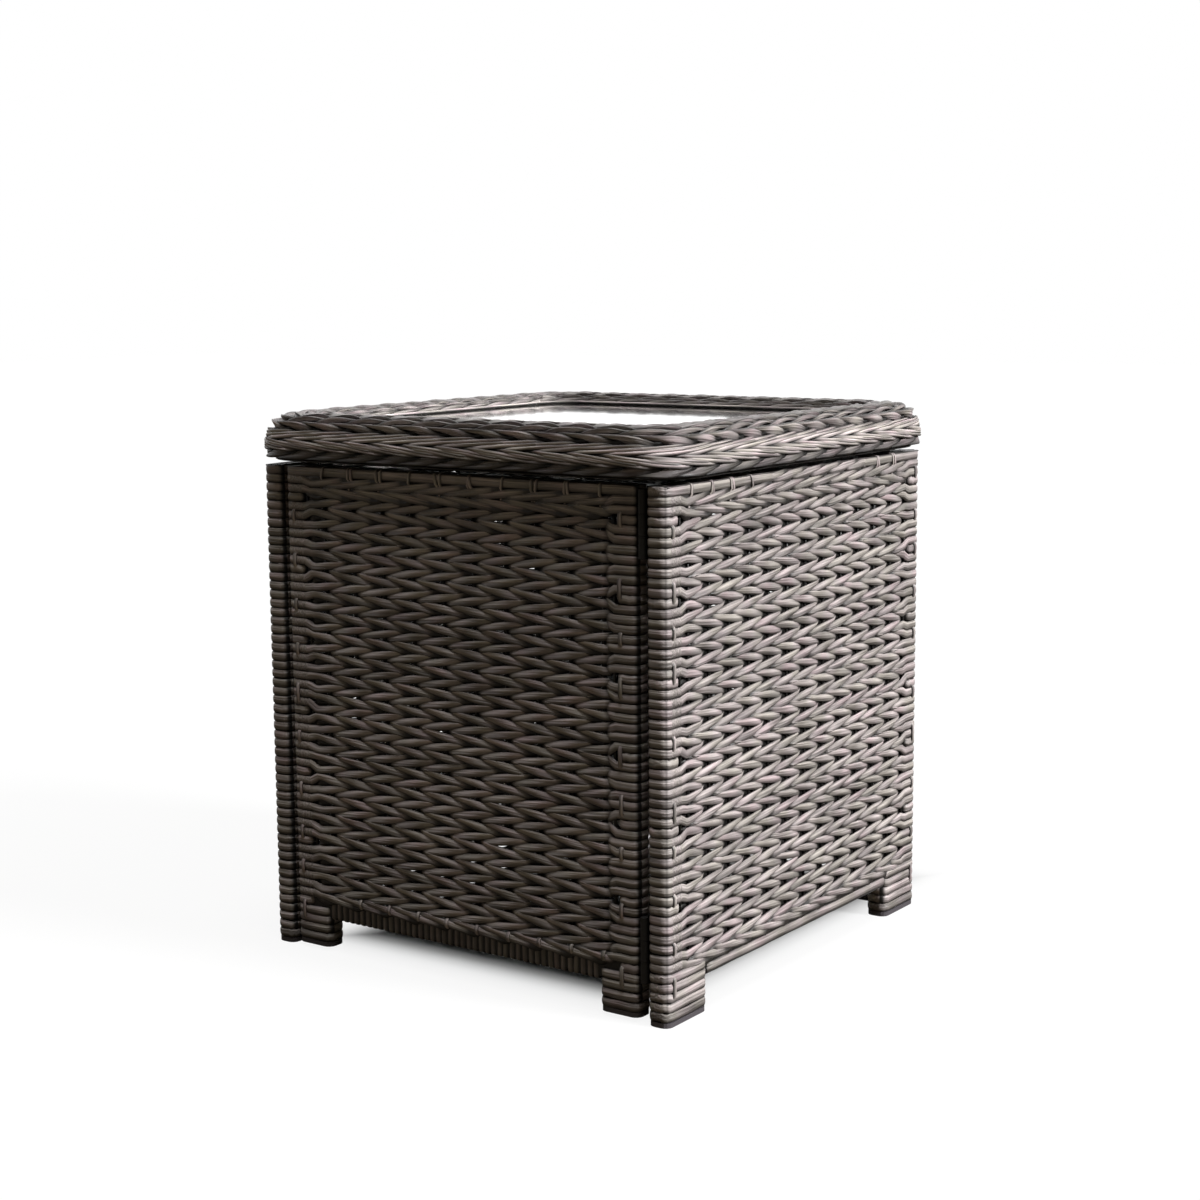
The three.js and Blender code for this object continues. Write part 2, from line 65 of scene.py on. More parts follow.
def add_object(name, data):
    """A new object in the scene."""
    made = bpy.data.objects.new(name, data)
    bpy.context.scene.collection.objects.link(made)
    return made


# Camera
# Its turns in degrees and its place in metres, fitted to the corners of the lid and the panels
YAW, PITCH, ROLL = 35.39, 8.49, -0.47
CAMERA_PLACE = (1.2592, -1.7747, 0.6665)
# Focal length and width of the picture in the photograph's pixels, and a sensor's width in millimetres
FOCAL_PIXELS = 2133.7
PICTURE_PIXELS = 1200
SENSOR_WIDTH = 36


def place_camera():
    """The photograph's viewpoint: front and right side, just above the lid."""
    yaw, pitch, roll = math.radians(YAW), math.radians(PITCH), math.radians(ROLL)
    level = math.cos(pitch)
    ahead = Vector((-math.sin(yaw) * level, math.cos(yaw) * level, -math.sin(pitch)))
    right = Vector((math.cos(yaw), math.sin(yaw), 0))
    up = right.cross(ahead)
    right_rolled = right * math.cos(roll) + up * math.sin(roll)
    up_rolled = up * math.cos(roll) - right * math.sin(roll)
    camera = add_object("camera", bpy.data.cameras.new("camera"))
    camera.data.lens = FOCAL_PIXELS / PICTURE_PIXELS * SENSOR_WIDTH
    camera.data.sensor_width = SENSOR_WIDTH
    camera.data.clip_start = 0.05
    camera.data.clip_end = 60
    turn = Matrix((right_rolled, up_rolled, -ahead)).transposed().to_4x4()
    camera.matrix_world = Matrix.Translation(CAMERA_PLACE) @ turn
    bpy.context.scene.camera = camera


# Materials
class Value:
    """A number in a material. Sums on it are written as in plain Python."""

    def __init__(self, finish, socket):
        self.finish = finish
        self.socket = socket

    def math(self, operation, *others):
        return self.finish.node("ShaderNodeMath", {"operation": operation}, [self, *others])["Value"]

    def __add__(self, other):
        return self.math("ADD", other)

    __radd__ = __add__

    def __mul__(self, other):
        return self.math("MULTIPLY", other)

    __rmul__ = __mul__

    def __sub__(self, other):
        return self.math("SUBTRACT", other)

    def __rsub__(self, other):
        return self.finish.node("ShaderNodeMath", {"operation": "SUBTRACT"}, [other, self])["Value"]

    def __pow__(self, other):
        return self.math("POWER", other)


class Outputs:
    """A node's outputs, by name."""

    def __init__(self, finish, made):
        self.finish = finish
        self.made = made

    def __getitem__(self, name):
        return Value(self.finish, self.made.outputs[name])


class Finish:
    """One procedural material with a Principled shader."""

    def __init__(self, name):
        self.material = bpy.data.materials.new(name)
        self.material.use_nodes = True
        self.tree = self.material.node_tree
        self.tree.nodes.clear()
        self.shader = self.tree.nodes.new("ShaderNodeBsdfPrincipled")
        self.output = self.tree.nodes.new("ShaderNodeOutputMaterial")
        self.tree.links.new(self.shader.outputs["BSDF"], self.output.inputs["Surface"])

    @classmethod
    def of_tree(cls, tree):
        """The same helpers over a world's node tree."""
        made = cls.__new__(cls)
        made.tree = tree
        tree.nodes.clear()
        made.output = tree.nodes.new("ShaderNodeOutputWorld")
        return made

    def node(self, kind, settings=None, inputs=None):
        made = self.tree.nodes.new(kind)
        for key, setting in (settings or {}).items():
            if key == "stops":
                ramp = made.color_ramp
                while len(ramp.elements) < len(setting):
                    ramp.elements.new(0.5)
                for element, (position, colour) in zip(ramp.elements, setting):
                    element.position = position
                    element.color = (*colour, 1)
            else:
                setattr(made, key, setting)
        if isinstance(inputs, list):
            pairs = [(made.inputs[i], value) for i, value in enumerate(inputs)]
        else:
            pairs = [(self.find(made, key), value) for key, value in (inputs or {}).items()]
        for socket, value in pairs:
            self.feed(socket, value)
        return Outputs(self, made)

    @staticmethod
    def find(made, key):
        """The enabled input of that name: a Mix node has one for each data type."""
        return next(socket for socket in made.inputs if socket.name == key and socket.enabled)

    def feed(self, socket, value):
        if isinstance(value, Value):
            self.tree.links.new(value.socket, socket)
        elif isinstance(value, tuple) and len(value) == 3 and socket.type == "RGBA":
            socket.default_value = (*value, 1)
        else:
            socket.default_value = value

    def set(self, **inputs):
        for key, value in inputs.items():
            self.feed(self.shader.inputs[key.replace("_", " ")], value)

    def mix(self, factor, first, second, blend="MIX"):
        settings = {"data_type": "RGBA", "blend_type": blend}
        inputs = {"Factor": factor, "A": first, "B": second}
        return self.node("ShaderNodeMix", settings, inputs)["Result"]

    def noise(self, vector, scale, detail, roughness):
        inputs = {"Vector": vector, "Scale": scale, "Detail": detail, "Roughness": roughness}
        return self.node("ShaderNodeTexNoise", None, inputs)["Fac"]

    def stretched(self, vector, scale):
        return self.node("ShaderNodeMapping", None, {"Vector": vector, "Scale": scale})["Vector"]

    def object_place(self):
        return self.node("ShaderNodeTexCoord")["Object"]

    def ramp(self, value, stops):
        return self.node("ShaderNodeValToRGB", {"stops": stops}, {"Fac": value})["Color"]

    def grey_ramp(self, value, stops):
        """A ramp of greys, from stops of (position, level)."""
        return self.ramp(value, [(position, (level,) * 3) for position, level in stops])

    def bump(self, height, strength, distance):
        inputs = {"Height": height, "Strength": strength, "Distance": distance}
        self.set(Normal=self.node("ShaderNodeBump", None, inputs)["Normal"])


def srgb(red, green, blue):
    """An 8-bit colour as Blender's linear numbers."""
    def linear(level):
        share = level / 255
        return share / 12.92 if share <= 0.04045 else ((share + 0.055) / 1.055) ** 2.4
    return (linear(red), linear(green), linear(blue))


# Stretch of the wicker's patterns along a strand, round it, and from one strand to the next
LINE_STRETCH = (0.035, 2.2, 37.0)
RIDGE_STRETCH = (0.018, 0.46, 53.0)
DRIFT_STRETCH = (0.024, 0.0, 61.0)
# Scale of the light and dark patches that run over neighbouring strands
PATCH_SCALE = 26.0
OLIVE, GREIGE, PINK = srgb(157, 151, 145), srgb(166, 157, 156), srgb(172, 156, 158)
# The wicker's plain level, and how much each pattern adds to it or takes from it
PLAIN_LEVEL = 0.76
BY_STRAND, BY_LINE, BY_RIDGE, BY_PATCH = 0.2, 0.85, 0.5, 0.9
# The ramp of light between the rows covers a depth of 20 mm
RAMPS_PER_METRE = 50


def wicker_finish(name, lightness, shade_by_depth=None):
    """Flat resin wicker with lengthwise ridges and drawn lines.

    Its tone drifts from olive through greige to pink-brown. shade_by_depth gives the light that is
    left at depths, in millimetres, under the panels' outer faces.
    """
    finish = Finish(name)
    strand = finish.node("ShaderNodeAttribute", {"attribute_name": "strand"})["Vector"]
    seed = finish.node("ShaderNodeSeparateXYZ", None, {"Vector": strand})["Z"]
    lines = finish.noise(finish.stretched(strand, LINE_STRETCH), 1.0, 3, 0.6)
    ridges = finish.noise(finish.stretched(strand, RIDGE_STRETCH), 1.0, 1, 0.4)
    drift = finish.noise(finish.stretched(strand, DRIFT_STRETCH), 1.0, 2, 0.5)
    place = finish.object_place()
    patch = finish.noise(place, PATCH_SCALE, 2, 0.5)
    tone = finish.ramp(drift, [(0.40, OLIVE), (0.54, GREIGE), (0.70, PINK)])
    crest = finish.grey_ramp(ridges, [(0.36, 0), (0.64, 1)])
    light = finish.node("ShaderNodeAttribute", {"attribute_name": "light"})["Fac"]
    level = PLAIN_LEVEL + BY_STRAND * seed + BY_LINE * (lines - 0.5)
    level = (level + BY_RIDGE * (crest - 0.5) + BY_PATCH * (patch - 0.5)) * light
    if shade_by_depth:
        spot = finish.node("ShaderNodeSeparateXYZ", None, {"Vector": place})
        depth = HALF_BODY * MM - spot["X"].math("ABSOLUTE").math("MAXIMUM", spot["Y"].math("ABSOLUTE"))
        stops = [(deep * MM * RAMPS_PER_METRE, lit) for deep, lit in shade_by_depth]
        level = level * finish.grey_ramp(depth * RAMPS_PER_METRE, stops)
    shade = finish.node("ShaderNodeCombineXYZ", None, [level * lightness] * 3)["Vector"]
    colour = finish.mix(1.0, tone, shade, "MULTIPLY")
    finish.set(Base_Color=colour, Roughness=0.3 + 0.25 * lines)
    finish.bump(crest + 0.5 * lines, strength=0.9, distance=0.0005)
    return finish.material


def worn_finish(name, colour, roughness, metallic=0.0):
    """A plain made surface with fine grain: paint, plastic, rubber or plated steel."""
    finish = Finish(name)
    place = finish.object_place()
    grain = finish.noise(place, 180.0, 3, 0.6)
    broad = finish.noise(place, 14.0, 2, 0.5)
    dark = tuple(channel * 0.75 for channel in colour)
    tone = finish.mix(broad, dark, colour)
    finish.set(Base_Color=tone, Roughness=roughness + 0.2 * (grain - 0.5))
    finish.shader.inputs["Metallic"].default_value = metallic
    finish.bump(grain, strength=0.35, distance=0.0002)
    return finish.material


def glass_finish(name):
    """Tempered glass: a clear sheet whose reflection grows as it is seen flatter."""
    finish = Finish(name)
    smear = finish.noise(finish.object_place(), 9.0, 3, 0.6)
    finish.set(Base_Color=srgb(226, 232, 230), Roughness=0.02 + 0.05 * smear)
    finish.shader.inputs["Transmission Weight"].default_value = 1.0
    finish.shader.inputs["IOR"].default_value = 1.52
    coat = {"Color": (0.95, 0.95, 0.95), "Roughness": 0.07}
    mirror = finish.node("ShaderNodeBsdfAnisotropic", None, coat)["BSDF"]
    facing = finish.node("ShaderNodeLayerWeight", None, {"Blend": 0.5})["Facing"]
    clamped = {"operation": "MULTIPLY", "use_clamp": True}
    flatness = finish.node("ShaderNodeMath", clamped, [facing, 1.22])["Value"]
    share = 0.96 * flatness ** 4.0
    clear = Value(finish, finish.shader.outputs["BSDF"])
    mixed = finish.node("ShaderNodeMixShader", None, [share, clear, mirror])["Shader"]
    finish.tree.links.new(mixed.socket, finish.output.inputs["Surface"])
    return finish.material


# Light that reaches a strand between the rows, by its depth in millimetres under the outer face
BETWEEN_ROWS = [(1.5, 1.0), (2.6, 0.5), (3.7, 0.08), (4.6, 0.03), (6.4, 0.04), (7.2, 0.5), (7.9, 1.0)]
wicker = wicker_finish("woven resin strand", 1.0, BETWEEN_ROWS)
# The lowest rings round the feet are drawn in a darker tone of the wicker.
foot_wicker = wicker_finish("darker foot strand", 0.6)
rail_wicker = wicker_finish("shaded rail strand", 0.5)
# The stake loops take a lighter copy of the wicker: painted light.
loop_wicker = wicker_finish("stake loop strand", 1.3)
# The lid's strands take a slightly lighter copy of the wicker: painted light that brightens their peaks.
lid_wicker = wicker_finish("lid resin strand", 1.05)
low_wicker = wicker_finish("shaded lid strand", 0.52)
# The bead round the glass takes a lighter copy of the wicker: painted light.
trim_wicker = wicker_finish("inner trim strand", 1.35)
# A near-black finish that stands in for shade: the lid's core and the line under its bead are painted
# shade.
painted_shade_black = worn_finish("shadowed lid core", srgb(30, 27, 23), 0.85)
FINISHES = {
    "wicker": wicker,
    "lid_wicker": lid_wicker,
    "painted_tube": worn_finish("powder coated tube", srgb(24, 22, 20), 0.55),
    "zinc_steel": worn_finish("zinc plated steel", srgb(52, 51, 50), 0.6, 0.6),
    "foot_plastic": worn_finish("moulded foot plastic", srgb(88, 84, 89), 0.5),
    "catch_plastic": worn_finish("moulded catch plastic", srgb(74, 70, 66), 0.5),
    "pad_rubber": worn_finish("pad rubber", srgb(34, 33, 32), 0.8),
    "clear_plastic": worn_finish("clear bumper plastic", srgb(214, 218, 218), 0.25),
    "glass": glass_finish("tempered glass"),
}


# Strands
def section_curve(name, outline):
    """A closed section across a strand: outline is (outward, up) in millimetres."""
    data = bpy.data.curves.new(name, "CURVE")
    data.dimensions = "2D"
    data.fill_mode = "NONE"
    spline = data.splines.new("POLY")
    spline.points.add(len(outline) - 1)
    for point, (outward, up) in zip(spline.points, outline):
        point.co = (outward * MM, up * MM, 0, 1)
    spline.use_cyclic_u = True
    return add_object(name, data)


HALF_ROUND = [
    (-0.50, -0.38),
    (-0.14, -0.50),
    (0.30, -0.40),
    (0.50, -0.16),
    (0.50, 0.16),
    (0.30, 0.40),
    (-0.14, 0.50),
    (-0.50, 0.38),
]
# Light that reaches those corners of a strand laid beside others, from its lower side to its upper
EDGE_LIGHT = [0.4, 0.05, 0.28, 0.74, 1.32, 1.25, 0.2, 0.5]

# How far, in millimetres, a seed moves a strand's marks along and around
ALONG_SHIFT = 900
AROUND_SHIFT = 170


def half_round(width, thickness):
    return [(outward * thickness, up * width) for outward, up in HALF_ROUND]


def flat_across(width, thickness):
    """The same section for loops and bars that stand upright, where the curve's own axes are turned."""
    return [(up * width, outward * thickness) for outward, up in reversed(HALF_ROUND)]


class Strands:
    """Strand paths of one piece, swept together, with along, around, seed and light on each vertex."""

    def __init__(self, name, outline, twist="Z_UP"):
        self.name = name
        self.outline = outline
        self.twist = twist
        self.paths = []

    def lay(self, points, tilts=None, radii=None, cyclic=True, lights=None):
        """One strand through points in millimetres; tilts in radians, lights 0 where no light comes."""
        count = len(points)
        tilts = tilts or [0.0] * count
        radii = radii or [1.0] * count
        lights = lights or [1.0] * count
        self.paths.append((points, tilts, radii, cyclic, lights, random.random()))

    def finish(self, body, slot, material, *nodes):
        section = section_curve(self.name + "_section", self.outline)
        data = bpy.data.curves.new(self.name, "CURVE")
        data.dimensions = "3D"
        data.twist_mode = self.twist
        data.bevel_mode = "OBJECT"
        data.bevel_object = section
        for points, tilts, radii, cyclic, _, _ in self.paths:
            spline = data.splines.new("POLY")
            spline.points.add(len(points) - 1)
            place = np.ones((len(points), 4))
            place[:, :3] = np.array(points) * MM
            spline.points.foreach_set("co", place.ravel())
            spline.points.foreach_set("tilt", tilts)
            spline.points.foreach_set("radius", radii)
            spline.use_cyclic_u = cyclic
        swept = add_object(self.name + "_path", data)
        bpy.context.view_layer.update()
        graph = bpy.context.evaluated_depsgraph_get()
        mesh = bpy.data.meshes.new_from_object(swept.evaluated_get(graph), depsgraph=graph)
        bpy.data.objects.remove(swept)
        bpy.data.objects.remove(section)
        self.mark(mesh)
        mesh.name = self.name
        close_ends(mesh)
        place_piece(add_object(self.name, mesh), body, slot, material, *nodes)

    def mark(self, mesh):
        """Writes along and around in millimetres with a seed, and the light, on each vertex.

        Each strand's marks start at a place of their own in the patterns, by its seed.
        """
        across = len(self.outline)
        ring = np.array(self.outline + self.outline[:1])
        sides = np.linalg.norm(np.diff(ring, axis=0), axis=1)
        around = np.concatenate([[0], np.cumsum(sides)])[:across]
        edge = np.array(EDGE_LIGHT if across == len(EDGE_LIGHT) else [1.0] * across)
        rows, shades = [], []
        for points, tilts, _, _, lights, seed in self.paths:
            steps = np.linalg.norm(np.diff(np.array(points), axis=0), axis=1)
            along = np.concatenate([[0], np.cumsum(steps)]) + seed * ALONG_SHIFT
            count = len(points)
            block = np.empty((count, across, 3))
            block[:, :, 0] = along[:, None]
            block[:, :, 1] = around[None, :] + seed * AROUND_SHIFT
            block[:, :, 2] = seed
            rows.append(block.reshape(-1, 3))
            turned = np.cos(tilts)[:, None] < 0
            shades.append((np.array(lights)[:, None] * np.where(turned, edge[::-1], edge)).ravel())
        values = np.concatenate(rows)
        if len(values) != len(mesh.vertices):
            raise ValueError(f"{self.name}: {len(values)} marks for {len(mesh.vertices)} vertices")
        strand = mesh.attributes.new("strand", "FLOAT_VECTOR", "POINT")
        strand.data.foreach_set("vector", values.ravel())
        light = mesh.attributes.new("light", "FLOAT", "POINT")
        light.data.foreach_set("value", np.concatenate(shades))


def close_ends(mesh):
    """Fills the open ends of strands, and turns their faces outwards and makes them smooth."""
    shape = bmesh.new()
    shape.from_mesh(mesh)
    loose = [edge for edge in shape.edges if edge.is_boundary]
    if loose:
        bmesh.ops.holes_fill(shape, edges=loose, sides=64)
    bmesh.ops.recalc_face_normals(shape, faces=shape.faces)
    for face in shape.faces:
        face.smooth = True
    shape.to_mesh(mesh)
    shape.free()


def place_piece(piece, body, slot, material, *nodes):
    """Gives a piece its finish, the body it moves with and the CAD nodes it stands for; slot is not used.
    """
    piece.data.materials.clear()
    piece.data.materials.append(material)
    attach(piece, body)
    if nodes:
        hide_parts(*nodes)


# Woven panels
# For each panel: the body it rides, its middle's shift to the right, a foot's width and its lower end
HINGED = dict(body="door", centre=-1.5, foot=45, bottom=9.0)
FIXED = dict(body="carcass", centre=0, foot=68, bottom=5.0)
# Then its turn about +Z in degrees, half its width, and where its stakes stand: the distance of the first
# from the field's edge, and their pitch
PANELS = {
    "door": dict(HINGED, turn=0, half=210.5, first=25.1, pitch=37.0),
    "right": dict(FIXED, turn=90, half=HALF_BODY, first=16.3, pitch=34.8),
    "back": dict(FIXED, turn=180, half=215.5, first=24, pitch=37.2),
    "left": dict(FIXED, turn=270, half=HALF_BODY, first=16.3, pitch=34.8),
}
# Distance of the outermost stakes from the field's edge
EDGE_STAKE = 3

# Half lengths, as phases, of a leaf's climb and of its head and its tail in front
LEAF_REACH = 0.74 * math.pi
HEAD_REACH = 0.72 * math.pi
TAIL_REACH = 0.74 * math.pi
# Phase by which a leaf comes forward before the middle of its climb, and how full its curve is in depth
CREST_SHIFT = 0.1 * math.pi
FULLNESS = 0.6

# How a row lies: its middle's depth, its swing to both sides of it, how far it rocks, and how much it
# narrows between stakes
IN_FIELD = {"middle": 4.5, "swing": 2.9, "rock": 0.8, "narrow": 0.05}
OVER_RAIL = {"middle": 2.1, "swing": 0.8, "rock": 0.5, "narrow": 0.2}
ROW_RISE = 3.1
# Lengths beside a post in which a row grows flat, meets the height of its wrap, and loses its slip
FLAT_LENGTH = 15
MEET_LENGTH = 10
SLIP_LENGTH = 40
# How far a leaf is out of line, a row slips along and a wrap sags, and the girths of leaves and wraps
LEAF_LIFT = 0.35
ROW_SLIP = 1.5
WRAP_SAG = 0.5
LEAF_GIRTHS = (0.9, 1.05)
WRAP_GIRTHS = (0.97, 1.03)
# A leaf's girth at its middle depth, its loss in front and gain behind, and its girth beside a post
MIDDLE_GIRTH = 1.09
FRONT_LOSS = 0.15
BACK_GAIN = 0.34
POST_GIRTH = 0.98
# Points in which a strand turns over behind a post
TURN_POINTS = 5


def leaf_height(phase):
    """Height of a twined strand: a long climb in front of its stake, a quick return behind the next."""
    turn = (phase + math.pi) % (2 * math.pi) - math.pi
    if abs(turn) <= LEAF_REACH:
        share = turn / LEAF_REACH
        return 0.7 * share + 0.3 * math.sin(math.pi / 2 * share)
    back = (abs(turn) - LEAF_REACH) / (2 * math.pi - 2 * LEAF_REACH)
    return math.copysign(math.cos(math.pi * back), turn)


def leaf_front(phase):
    """How far a twined strand stands forward, 1 to -1: its head lies over the tail before it."""
    turn = (phase + CREST_SHIFT + math.pi) % (2 * math.pi) - math.pi
    if -HEAD_REACH < turn < TAIL_REACH:
        return math.cos(math.pi / 2 * turn / (TAIL_REACH if turn > 0 else HEAD_REACH)) ** FULLNESS
    behind = (turn - TAIL_REACH) % (2 * math.pi) / (2 * math.pi - TAIL_REACH - HEAD_REACH)
    return -abs(math.sin(math.pi * behind)) ** FULLNESS


def leaf_lean(phase):
    """A strand keeps its round side outward: it only rocks, its upper edge deeper where it is high."""
    return 0.5 * math.sin(phase)


def rail_light(front):
    """Light on a leaf that lies on a rail: it grows dark where it dives under the next."""
    return min(1.05, max(0.08, 0.45 + 0.8 * front))


def nearness(gap, length):
    """1 at a place, falling to 0 at a length from it."""
    return max(0.0, 1 - gap / length)


def stake_places(panel):
    """Where a panel's upright stakes stand, across the panel."""
    reach = panel["half"] - PANEL_DEPTH
    count = int((2 * reach - 2 * EDGE_STAKE - panel["first"]) / panel["pitch"]) + 1
    return [panel["first"] - reach + panel["pitch"] * i for i in range(count)]


def on_panel(panel, points):
    """Panel places (across, depth from the outer face, height) as places on the table."""
    angle = math.radians(panel["turn"])
    cos, sin = round(math.cos(angle)), round(math.sin(angle))
    placed = []
    for x, y, z in points:
        x, y = x + panel["centre"], y - HALF_BODY
        placed.append((cos * x - sin * y, sin * x + cos * y, z))
    return placed


def arc(centre_x, centre_y, radius, start, end, steps):
    """Points of an arc, angles in degrees from +x."""
    spots = []
    for i in range(steps + 1):
        angle = math.radians(start + (end - start) * i / steps)
        spots.append((centre_x + radius * math.cos(angle), centre_y + radius * math.sin(angle)))
    return spots


def post_wrap(half, depth):
    """A strand's way round the right-hand post: outer face, edge, inner face, back into the field."""
    outer = POST_RADIUS - SKIN_DEPTH
    inner = 3.0
    way = arc(half - POST_RADIUS, POST_RADIUS, outer, -90, 0, 4)
    way += arc(half - POST_RADIUS, PANEL_DEPTH - POST_RADIUS, outer, 0, 90, 4)
    side = half - PANEL_DEPTH + SKIN_DEPTH
    way += arc(side + inner, PANEL_DEPTH - SKIN_DEPTH - inner, inner, 90, 180, 3)
    way += [(side, depth + 5), (side - 0.4, depth + 2.5), (side - 2.0, depth + 0.7)]
    return way


def twined_row(panel, z, wrap_z, hand, over_rail):
    """One closed strand of a row.

    It goes across the front of the panel, round a post, back through the field and round the other.
    """
    kind = OVER_RAIL if over_rail else IN_FIELD
    middle, swing = kind["middle"], kind["swing"]
    half, pitch = panel["half"], panel["pitch"]
    reach = half - PANEL_DEPTH
    steps = round(2 * reach / pitch * SAMPLES)
    stakes = len(stake_places(panel))
    lift = [random.uniform(-LEAF_LIFT, LEAF_LIFT) for _ in range(stakes)]
    girth = [random.uniform(*LEAF_GIRTHS) for _ in range(stakes)]
    slip = random.uniform(-ROW_SLIP, ROW_SLIP)
    points, tilts, radii, lights = [], [], [], []

    def add(x, y, height, tilt, radius, light):
        points.append((x, y, height))
        tilts.append(tilt)
        radii.append(radius)
        lights.append(light)

    def field(way):
        for i in range(steps + 1)[::way]:
            x = -reach + 2 * reach * i / steps
            gap = reach - abs(x)
            edge, meet = nearness(gap, FLAT_LENGTH), nearness(gap, MEET_LENGTH)
            if way < 0 and edge > 0.8:
                continue
            along = math.pi * (x + reach - panel["first"]) / pitch
            phase = along if way > 0 else along + math.pi
            stake = min(stakes - 1, max(0, round(along / math.pi)))
            near = math.cos(along) ** 2
            front = leaf_front(phase)
            front += (way - front) * edge
            climb = ROW_RISE * hand * leaf_height(phase) + lift[stake] * near
            height = z + climb * (1 - edge) + (wrap_z - z) * meet * meet * (3 - 2 * meet)
            lean = hand * leaf_lean(phase) * kind["rock"] * (1 - edge)
            radius = 1 + (girth[stake] - 1) * near - kind["narrow"] * (1 - near)
            radius *= MIDDLE_GIRTH - (FRONT_LOSS if front > 0 else BACK_GAIN) * front
            radius += (POST_GIRTH - radius) * edge
            light = rail_light(front) if over_rail else 1.0
            place = x + slip * (1 - nearness(gap, SLIP_LENGTH))
            tilt = lean if way > 0 else math.pi - lean
            add(place, middle - swing * front, height, tilt, radius, light)

    wrap = post_wrap(half, middle + swing)
    swell = random.uniform(*WRAP_GIRTHS)
    for side in (1, -1):
        field(side)
        sag = random.uniform(-WRAP_SAG, WRAP_SAG)
        way = wrap if side > 0 else [(-x, y) for x, y in reversed(wrap)]
        for i, (x, y) in enumerate(way):
            hidden = max(0, i - len(way) + TURN_POINTS) if side > 0 else max(0, TURN_POINTS - 1 - i)
            height = wrap_z + sag * math.sin(math.pi * i / (len(way) - 1))
            add(x, y, height, math.pi * hidden / TURN_POINTS, swell, 1.0)
    return on_panel(panel, points), tilts, radii, True, lights


def foot_ring(near, far, z):
    """A strand round a whole foot, between two places across the panel."""
    radius = POST_RADIUS - SKIN_DEPTH
    x0, x1 = near + POST_RADIUS, far - POST_RADIUS
    low, high = POST_RADIUS, PANEL_DEPTH - POST_RADIUS
    way = arc(x0, low, radius, 180, 270, 4) + [((x0 + x1) / 2, low - radius)]
    way += arc(x1, low, radius, 270, 360, 4) + arc(x1, high, radius, 0, 90, 4)
    way += arc(x0, high, radius, 90, 180, 4)
    return [(x, y, z + random.uniform(-0.6, 0.6)) for x, y in way]


# The ring round a panel's top rail: its middle's distance under the top, the points of half its front,
# how much deeper it lies under a row of leaves, and the stretch in which it goes down there
RING_DROP = 5.2
HALF_RING_POINTS = 15
COVERED_DEPTH = 1.6
COVERED_STRETCH = 8


def top_ring(half, leafy):
    """The strip round a panel's top rail; where a row of leaves covers it, it lies deeper."""
    height = BODY_TOP - RING_DROP
    ring = foot_ring(-half, half, height)
    if leafy is None:
        return ring
    start, end = leafy
    way = []
    for i in range(2 * HALF_RING_POINTS + 1):
        x = (half - 12) * (i - HALF_RING_POINTS) / HALF_RING_POINTS
        covered = min(1.0, max(0.0, min(x - start, end - x) / COVERED_STRETCH))
        way.append((x, SKIN_DEPTH + COVERED_DEPTH * covered, height))
    return ring[:5] + way + ring[6:]


def short_row(strands, panel, z, start, end):
    """The two strands of a row over part of the top rail, whose ends dive under the strip there."""
    middle, swing, rise = 1.9, 0.5, 2.6
    dive_depth, dive_length = 2.4, 9
    reach, pitch = panel["half"] - PANEL_DEPTH, panel["pitch"]
    count = round((end - start) / pitch * SAMPLES)
    for offset in (0, math.pi):
        points, tilts, radii, lights = [], [], [], []
        for i in range(count + 1):
            x = start + (end - start) * i / count
            phase = math.pi * (x + reach - panel["first"]) / pitch + offset
            front = leaf_front(phase)
            dive = dive_depth * nearness(min(x - start, end - x), dive_length)
            points.append((x, middle - swing * front + dive, z + rise * leaf_height(phase)))
            tilts.append(0.5 * leaf_lean(phase))
            radii.append(0.84 + 0.12 * math.cos(phase) ** 2)
            lights.append(rail_light(front))
        strands.lay(on_panel(panel, points), tilts, radii, False, lights)


def strip_along(strands, panel, reach, depth, z, facing):
    """A flat strand laid lengthwise on a rail, facing outward, up, down or inward."""
    lean = {"outward": 0.0, "up": math.pi / 2, "down": -math.pi / 2, "inward": 0.0}[facing]
    count = 24
    places = [-reach + 2 * reach * i / count for i in range(count + 1)]
    if facing == "inward":
        places.reverse()
    points = [(x, depth, z + random.uniform(-0.25, 0.25)) for x in places]
    strands.lay(on_panel(panel, points), [lean] * len(points), cyclic=False)


def rail_loop(strands, panel, x, front, back, low, high, tuck, lean):
    """A strand looped once round a rail; below the height tuck, if any, its front leg lies deeper."""
    bend = 2.4
    way = arc(back - bend, high - bend, bend, 90, 0, 3) + arc(back - bend, low + bend, bend, 0, -90, 3)
    if tuck:
        deep = front + 2.6
        way += arc(deep + bend, low + bend, bend, -90, -180, 3) + [(deep, tuck - 2), (front, tuck + 1)]
    else:
        way += arc(front + bend, low + bend, bend, -90, -180, 3)
    way += arc(front + bend, high - bend, bend, 180, 90, 3)
    points = [(x + lean * (z - (low + high) / 2), y, z) for y, z in way]
    strands.lay(on_panel(panel, points))


def stake_bar(strands, panel, x, z, tall):
    """The short length of a stake that shows over a strand or two, with its ends bent in behind."""
    way = [(2.4, tall / 2 + 2.5), (0.6, tall / 2 + 0.8), (-0.4, tall / 2 - 1.4)]
    way += [(y, -height) for y, height in reversed(way)]
    strands.lay(on_panel(panel, [(x, y, z + height) for y, height in way]), cyclic=False)


# The height where the field begins, and those under and over which its rows lie on a rail
FIELD_START = CLEARANCE + 14
LOW_RAIL_ROWS = CLEARANCE + PANEL_DEPTH + 2
TOP_RAIL_ROWS = BODY_TOP - PANEL_DEPTH - 3
